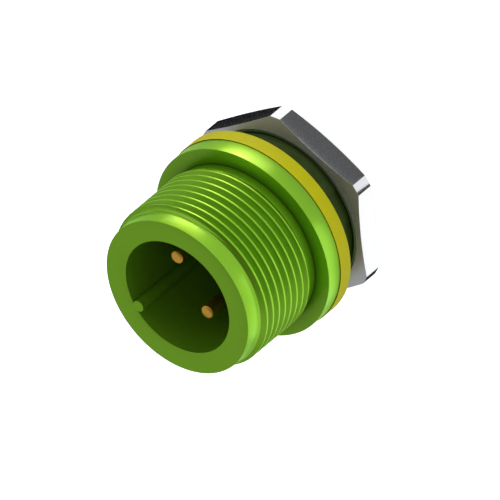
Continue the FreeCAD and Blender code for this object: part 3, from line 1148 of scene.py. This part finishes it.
@dataclass
class ContactPin:
    """Turned contact with a rounded tip and a solder cup that opens outwards."""

    node: str
    side: int
    pin_radius: float = 0.75
    tip_rounding: float = 0.2
    shank_radius: float = 1.0
    collar_radius: float = 1.5
    collar_thickness: float = 1.0
    cup_radius: float = 1.2
    cup_bore_radius: float = 0.8
    cup_bore_depth: float = 3.4
    cup_edge: float = 0.06
    scoop_length: float = 1.5
    scoop_offset: float = 0.1
    scoop_steps: int = 8
    columns: int = 64

    def build(self, material: Material) -> None:
        """Turn the contact on the Z axis, cut its scoop and move it to its place.

        Args:
            material: The contact's material.
        """
        low, high = box_of(self.node)
        joint, floor = (corner.z for corner in box_of("front_insulator"))
        collar_front = joint + self.collar_thickness
        cup_floor = low.z + self.cup_bore_depth
        outline = [
            Corner(0.0, cup_floor),
            Corner(self.cup_bore_radius, cup_floor),
            Corner(self.cup_bore_radius, low.z, self.cup_edge),
            Corner(self.cup_radius, low.z, self.cup_edge),
            Corner(self.cup_radius, joint),
            Corner(self.collar_radius, joint),
            Corner(self.collar_radius, collar_front),
            Corner(self.shank_radius, collar_front),
            Corner(self.shank_radius, floor),
            Corner(self.pin_radius, floor),
            Corner(self.pin_radius, high.z, self.tip_rounding),
            Corner(0.0, high.z),
        ]
        pin = turn_piece(f"{self.node}_gold", outline, self.columns, closed=False)
        combine(pin, self.scoop(low.z), Blend.CUT)
        place = Matrix.Translation(((low.x + high.x) / 2 * MM, 0.0, 0.0))
        pin.data.transform(place @ Matrix.Rotation(0.0 if self.side > 0 else math.pi, 4, "Z"))
        dress(pin, material, "gold_contact", self.node)

    def scoop(self, rear: float) -> Piece:
        """Make the cutter that opens one side of the cup, with a round inner end.

        Args:
            rear: The height of the cup's rear end.

        Returns:
            The cutter.
        """
        beyond = 2 * self.cup_radius
        below, top = rear - self.scoop_length, rear + self.scoop_length
        sweep = self.cup_radius - self.scoop_offset
        angles = [TURN / 4 * step / self.scoop_steps for step in range(self.scoop_steps + 1)]
        arc = [(self.cup_radius - sweep * math.cos(a), top - sweep + sweep * math.sin(a)) for a in angles]
        section = [(self.scoop_offset, below), *arc, (beyond, top), (beyond, below)]
        return make_prism("scoop", section, lambda x, z, end: Vector((x, beyond if end else -beyond, z)))


@dataclass
class RetainingRing:
    """Plated ring behind the insulators, with two slots for a spanner."""

    width: float = 1.35
    edge: float = 0.12
    slot_half_width: float = 0.7
    slot_depth: float = 0.8
    clear: float = 1.0  # how far a slot's cutter stands out of the ring
    columns: int = 96

    def build(self, material: Material) -> None:
        """Turn the ring and cut its slots.

        Args:
            material: The ring's material.
        """
        low, high = box_of("retaining_ring")
        inner = high.x - self.width
        outline = [
            Corner(inner, low.z, self.edge),
            Corner(high.x, low.z, self.edge),
            Corner(high.x, high.z),
            Corner(inner, high.z),
        ]
        ring = turn_piece("retaining_ring_turned", outline, self.columns)
        half, deep, below = self.slot_half_width, low.z + self.slot_depth, low.z - self.clear
        section = [(-half, below), (half, below), (half, deep), (-half, deep)]
        for side in (-1, 1):
            ends = (side * inner / 2, side * (high.x + self.clear))
            cutter = make_prism(
                "spanner_slot", section, lambda x, z, end, ends=ends: Vector((x, ends[end], z))
            )
            combine(ring, cutter, Blend.CUT)
        dress(ring, material, "plated_nut", "retaining_ring")


# Studio


@dataclass(frozen=True)
class Lamp:
    """A soft rectangular lamp, placed and aimed in millimetres, that no reflection shows."""

    name: str
    place: tuple[float, float, float]
    width: float
    height: float
    power: float
    aim: tuple[float, float, float] = (0.0, 0.0, 11.0)

    def build(self) -> None:
        """Hang the lamp and turn it at its aim."""
        data = bpy.data.lights.new(self.name, "AREA")
        data.shape = "RECTANGLE"
        data.size, data.size_y = self.width * MM, self.height * MM
        data.energy = self.power
        lamp = place_object(self.name, data)
        place = Vector(self.place)
        lamp.location = place * MM
        lamp.rotation_mode = "QUATERNION"
        lamp.rotation_quaternion = (place - Vector(self.aim)).to_track_quat("Z", "Y")
        lamp.visible_glossy = False


@dataclass(frozen=True)
class Card:
    """A studio card lying by the part, which only its reflections show."""

    name: str
    level: float
    corners: tuple[tuple[float, float], ...]
    height: float = 0.02
    colour: str = WHITE

    def build(self) -> None:
        """Lay the card."""
        mesh = bmesh.new()
        mesh.faces.new([mesh.verts.new(point * MM) for point in self.points()])
        card = place_object(self.name, to_data(mesh, self.name))
        card.visible_camera = card.visible_diffuse = card.visible_shadow = False
        material, tree = new_material(self.name)
        feeds = {"Color": linear(self.colour), "Strength": self.level}
        glow = add_node(tree, "ShaderNodeEmission", feeds=feeds)
        add_node(tree, "ShaderNodeOutputMaterial", feeds={"Surface": glow.outputs[0]})
        card.data.materials.append(material)
        card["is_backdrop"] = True

    def points(self) -> list[Vector]:
        """The card's corners on its level."""
        return [Vector((x, y, self.height)) for x, y in self.corners]


@dataclass(frozen=True)
class StandingCard(Card):
    """A card on edge: its corners are its foot, and it reaches up to its top."""

    top: float = 50.0

    def points(self) -> list[Vector]:
        """The foot's corners, then the same corners at the top, the other way round."""
        upper = [Vector((x, y, self.top)) for x, y in reversed(self.corners)]
        return super().points() + upper


ROSE = "#FFE1FF"  # keeps the brightest greens from turning too pure
OVER = 0.03  # the height of a card that lies over another, mm
LAMPS = (
    Lamp("key", (175.0, 43.0, 137.0), width=180.0, height=140.0, power=0.25),
    Lamp("front", (48.0, -153.0, 202.0), width=160.0, height=120.0, power=0.25),
    Lamp("fill", (-207.0, -18.0, 131.0), width=160.0, height=120.0, power=0.14),
)
# The shell's walls mirror the first five, and the others lie close by, for the nut's flats and corners.
CARDS = (
    Card("wide_card", 4.3, ((16.4, -15.2), (33.0, -22.0), (37.0, 11.0), (20.0, -0.6)), colour=ROSE),
    Card("bright_card", 9.5, ((23.2, -9.0), (33.5, -14.5), (37.5, 5.0), (23.2, -3.4)), OVER, ROSE),
    Card("dim_card", 0.4, ((46.0, -28.0), (150.0, -70.0), (150.0, 110.0), (40.0, 38.0), (46.0, 8.0))),
    StandingCard("left_card", 1.6, ((-62.0, -52.0), (-80.0, 4.0)), 2.0, top=52.0),
    Card(
        "side_card",
        2.35,
        (
            (-3.6, -22.3), (-17.0, -12.0), (-18.8, -2.5), (-28.0, 6.0), (-40.0, -4.0), (-33.0, -22.0),
            (-8.0, -40.0),
        ),
    ),
    Card("black_card", 0.005, ((10.1, -4.1), (11.9, -4.1), (11.9, 10.2), (10.1, 10.2))),
    Card("grey_card", 0.15, ((1.2, -12.0), (10.4, -6.8), (12.8, -9.4), (3.6, -14.8))),
    Card("white_card", 1.9, ((-10.6, -6.3), (-1.7, -11.5), (-5.2, -12.4), (-14.2, -7.0))),
    Card("right_strip", 1.9, ((10.3, -6.2), (14.6, -5.8), (15.0, -3.3), (10.9, -4.5))),
    Card("near_strip", 1.5, ((-0.75, -12.0), (0.6, -12.1), (0.0, -16.2), (-1.9, -16.0))),
    Card("near_edge", 0.05, ((-1.35, -12.0), (-0.75, -12.0), (-1.9, -16.0), (-3.6, -16.0)), OVER),
    Card("left_edge", 0.03, ((-10.0, -5.6), (-10.7, -3.6), (-13.3, -0.6), (-13.6, -3.2)), OVER),
)


def direction(azimuth: float, elevation: float) -> Vector:
    """The unit vector that points at an azimuth and an elevation, in degrees."""
    climb = math.radians(elevation)
    return polar(math.cos(climb), math.radians(azimuth), math.sin(climb))


@dataclass
class Studio:
    """Pale floor, soft light and the camera that looks into the mouth.

    A sky's stops are pairs of a height, from 0 at the horizon to 1 overhead, and a level of light. The
    horizon and the zenith come first, because a ramp starts with two stops, and then what lies between.
    """

    camera_azimuth: float = -72.5
    camera_elevation: float = 38.57
    camera_roll: float = 130.0
    camera_distance: float = 300.0
    camera_range: tuple[float, float] = (1.0, 100000.0)
    frame_width: float = 50.43
    frame_pixels: int = 500
    mouth_pixel: tuple[float, float] = (177.2, 297.2)
    floor_size: float = 6000.0
    floor_colour: str = "#E6E6E6"
    floor_glow: float = 0.75
    floor_reflected: float = 0.22
    sky_behind_camera: tuple[tuple[float, float], ...] = (
        (0.0, 1.5), (1.0, 0.0), (0.4, 1.3), (0.62, 0.85), (0.71, 0.2), (0.8, 0.0),
    )
    sky_behind_part: tuple[tuple[float, float], ...] = ((0.0, 0.5), (1.0, 0.15), (0.35, 0.55), (0.68, 0.66))
    sky_change: float = 0.9  # how fast one sky gives way to the other, half and half at the sides
    lamps: tuple[Lamp, ...] = LAMPS
    cards: tuple[Card, ...] = CARDS

    def build(self) -> None:
        """Make the camera, the floor, the world, the lamps and the cards."""
        self.add_camera(Vector((0.0, 0.0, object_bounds()[1][2] / MM)))
        self.add_floor()
        self.add_world()
        for item in (*self.lamps, *self.cards):
            item.build()

    def add_camera(self, mouth: Vector) -> None:
        """Place the camera so that the mouth's centre falls on its pixel.

        Args:
            mouth: The mouth's centre in millimetres.
        """
        back = direction(self.camera_azimuth, self.camera_elevation)
        turn = back.to_track_quat("Z", "Y").to_matrix()
        turn = turn @ Matrix.Rotation(math.radians(-self.camera_roll), 3, "Z")
        right, up = turn.col[0], turn.col[1]
        scale = self.frame_width / self.frame_pixels
        across = (self.mouth_pixel[0] - self.frame_pixels / 2) * scale
        down = (self.mouth_pixel[1] - self.frame_pixels / 2) * scale
        centre = mouth - right * across + up * down
        data = bpy.data.cameras.new("camera")
        data.type = "ORTHO"
        data.ortho_scale = self.frame_width * MM
        data.clip_start, data.clip_end = (end * MM for end in self.camera_range)
        camera = place_object("camera", data)
        camera.rotation_mode = "QUATERNION"
        camera.rotation_quaternion = turn.to_quaternion()
        camera.location = (centre + back * self.camera_distance) * MM
        bpy.context.scene.camera = camera

    def add_floor(self) -> None:
        """Lay a pale floor that shows white and keeps the part's soft shadow."""
        mesh = bmesh.new()
        bmesh.ops.create_grid(mesh, x_segments=1, y_segments=1, size=self.floor_size / 2 * MM)
        floor = place_object("floor", to_data(mesh, "floor"))
        material, tree = new_material("pale_floor")
        rays = add_node(tree, "ShaderNodeLightPath").outputs
        seen = {0: rays["Is Glossy Ray"], 1: self.floor_reflected}
        mirrored = add_node(tree, "ShaderNodeMath", {"operation": "MULTIPLY"}, seen)
        seen = {0: rays["Is Camera Ray"], 1: rays["Is Transmission Ray"]}
        straight = add_node(tree, "ShaderNodeMath", {"operation": "MAXIMUM"}, seen)
        seen = {0: straight.outputs[0], 1: self.floor_glow, 2: mirrored.outputs[0]}
        glow = add_node(tree, "ShaderNodeMath", {"operation": "MULTIPLY_ADD"}, seen)
        shader = add_node(
            tree,
            "ShaderNodeBsdfPrincipled",
            feeds={
                "Base Color": linear(self.floor_colour),
                "Roughness": 1.0,
                "Specular IOR Level": 0.0,
                "Emission Color": linear(WHITE),
                "Emission Strength": glow.outputs[0],
            },
        )
        add_node(tree, "ShaderNodeOutputMaterial", feeds={"Surface": shader.outputs[0]})
        floor.data.materials.append(material)
        floor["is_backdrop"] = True

    def add_world(self) -> None:
        """Surround the part with a sky, brightest low behind the camera, that the camera sees as white."""
        world = bpy.data.worlds.new("soft_sky")
        world.use_nodes = True
        tree = world.node_tree
        tree.nodes.clear()
        place = add_node(tree, "ShaderNodeTexCoord").outputs["Generated"]
        height = add_node(tree, "ShaderNodeSeparateXYZ", feeds={0: place}).outputs["Z"]
        skies = []
        for stops in (self.sky_behind_camera, self.sky_behind_part):
            ramp = add_node(tree, "ShaderNodeValToRGB", feeds={"Fac": height})
            points = ramp.color_ramp.elements
            for index, (position, level) in enumerate(stops):
                point = points[index] if index < 2 else points.new(position)
                point.position, point.color = position, (level, level, level, 1.0)
            skies.append(ramp.outputs["Color"])
        ahead = {0: place, 1: -direction(self.camera_azimuth, 0.0)}
        towards = add_node(tree, "ShaderNodeVectorMath", {"operation": "DOT_PRODUCT"}, ahead)
        share = add_node(
            tree,
            "ShaderNodeMath",
            {"operation": "MULTIPLY_ADD", "use_clamp": True},
            {0: towards.outputs["Value"], 1: self.sky_change, 2: 0.5},
        )
        blend = {"Factor": share.outputs[0], "A": skies[0], "B": skies[1]}
        sky = add_node(tree, "ShaderNodeMix", {"data_type": "RGBA"}, blend)
        rays = add_node(tree, "ShaderNodeLightPath").outputs
        blend = {"Factor": rays["Is Camera Ray"], "A": sky.outputs["Result"], "B": linear(WHITE)}
        seen = add_node(tree, "ShaderNodeMix", {"data_type": "RGBA"}, blend)
        back = add_node(tree, "ShaderNodeBackground", feeds={"Color": seen.outputs["Result"]})
        add_node(tree, "ShaderNodeOutputWorld", feeds={"Surface": back.outputs[0]})
        bpy.context.scene.world = world


def main() -> None:
    """Build the finishes, the pieces and the studio."""
    logging.basicConfig(level=logging.INFO, format="%(message)s", stream=sys.stdout)
    bpy.context.scene.view_settings.view_transform = "Standard"
    green, nickel, gold = GREEN_ANODISED.build(), NICKEL_PLATE.build(), GOLD_PLATE.build()
    yellow, black_rubber, nylon = YELLOW_SILICONE.build(), BLACK_NITRILE.build(), BLACK_NYLON.build()
    Shell().build(ThreadTree(), green)
    PanelGasket().build(yellow)
    LockNut().build(nickel)
    dress_node("front_insulator", nylon)
    dress_node("insulator_seal", black_rubber)
    dress_node("rear_insulator", nylon)
    RetainingRing().build(nickel)
    for node, side in (("contact_pin_a", 1), ("contact_pin_b", -1)):
        ContactPin(node, side).build(gold)
    Studio().build()


if __name__ == "__main__":
    main()
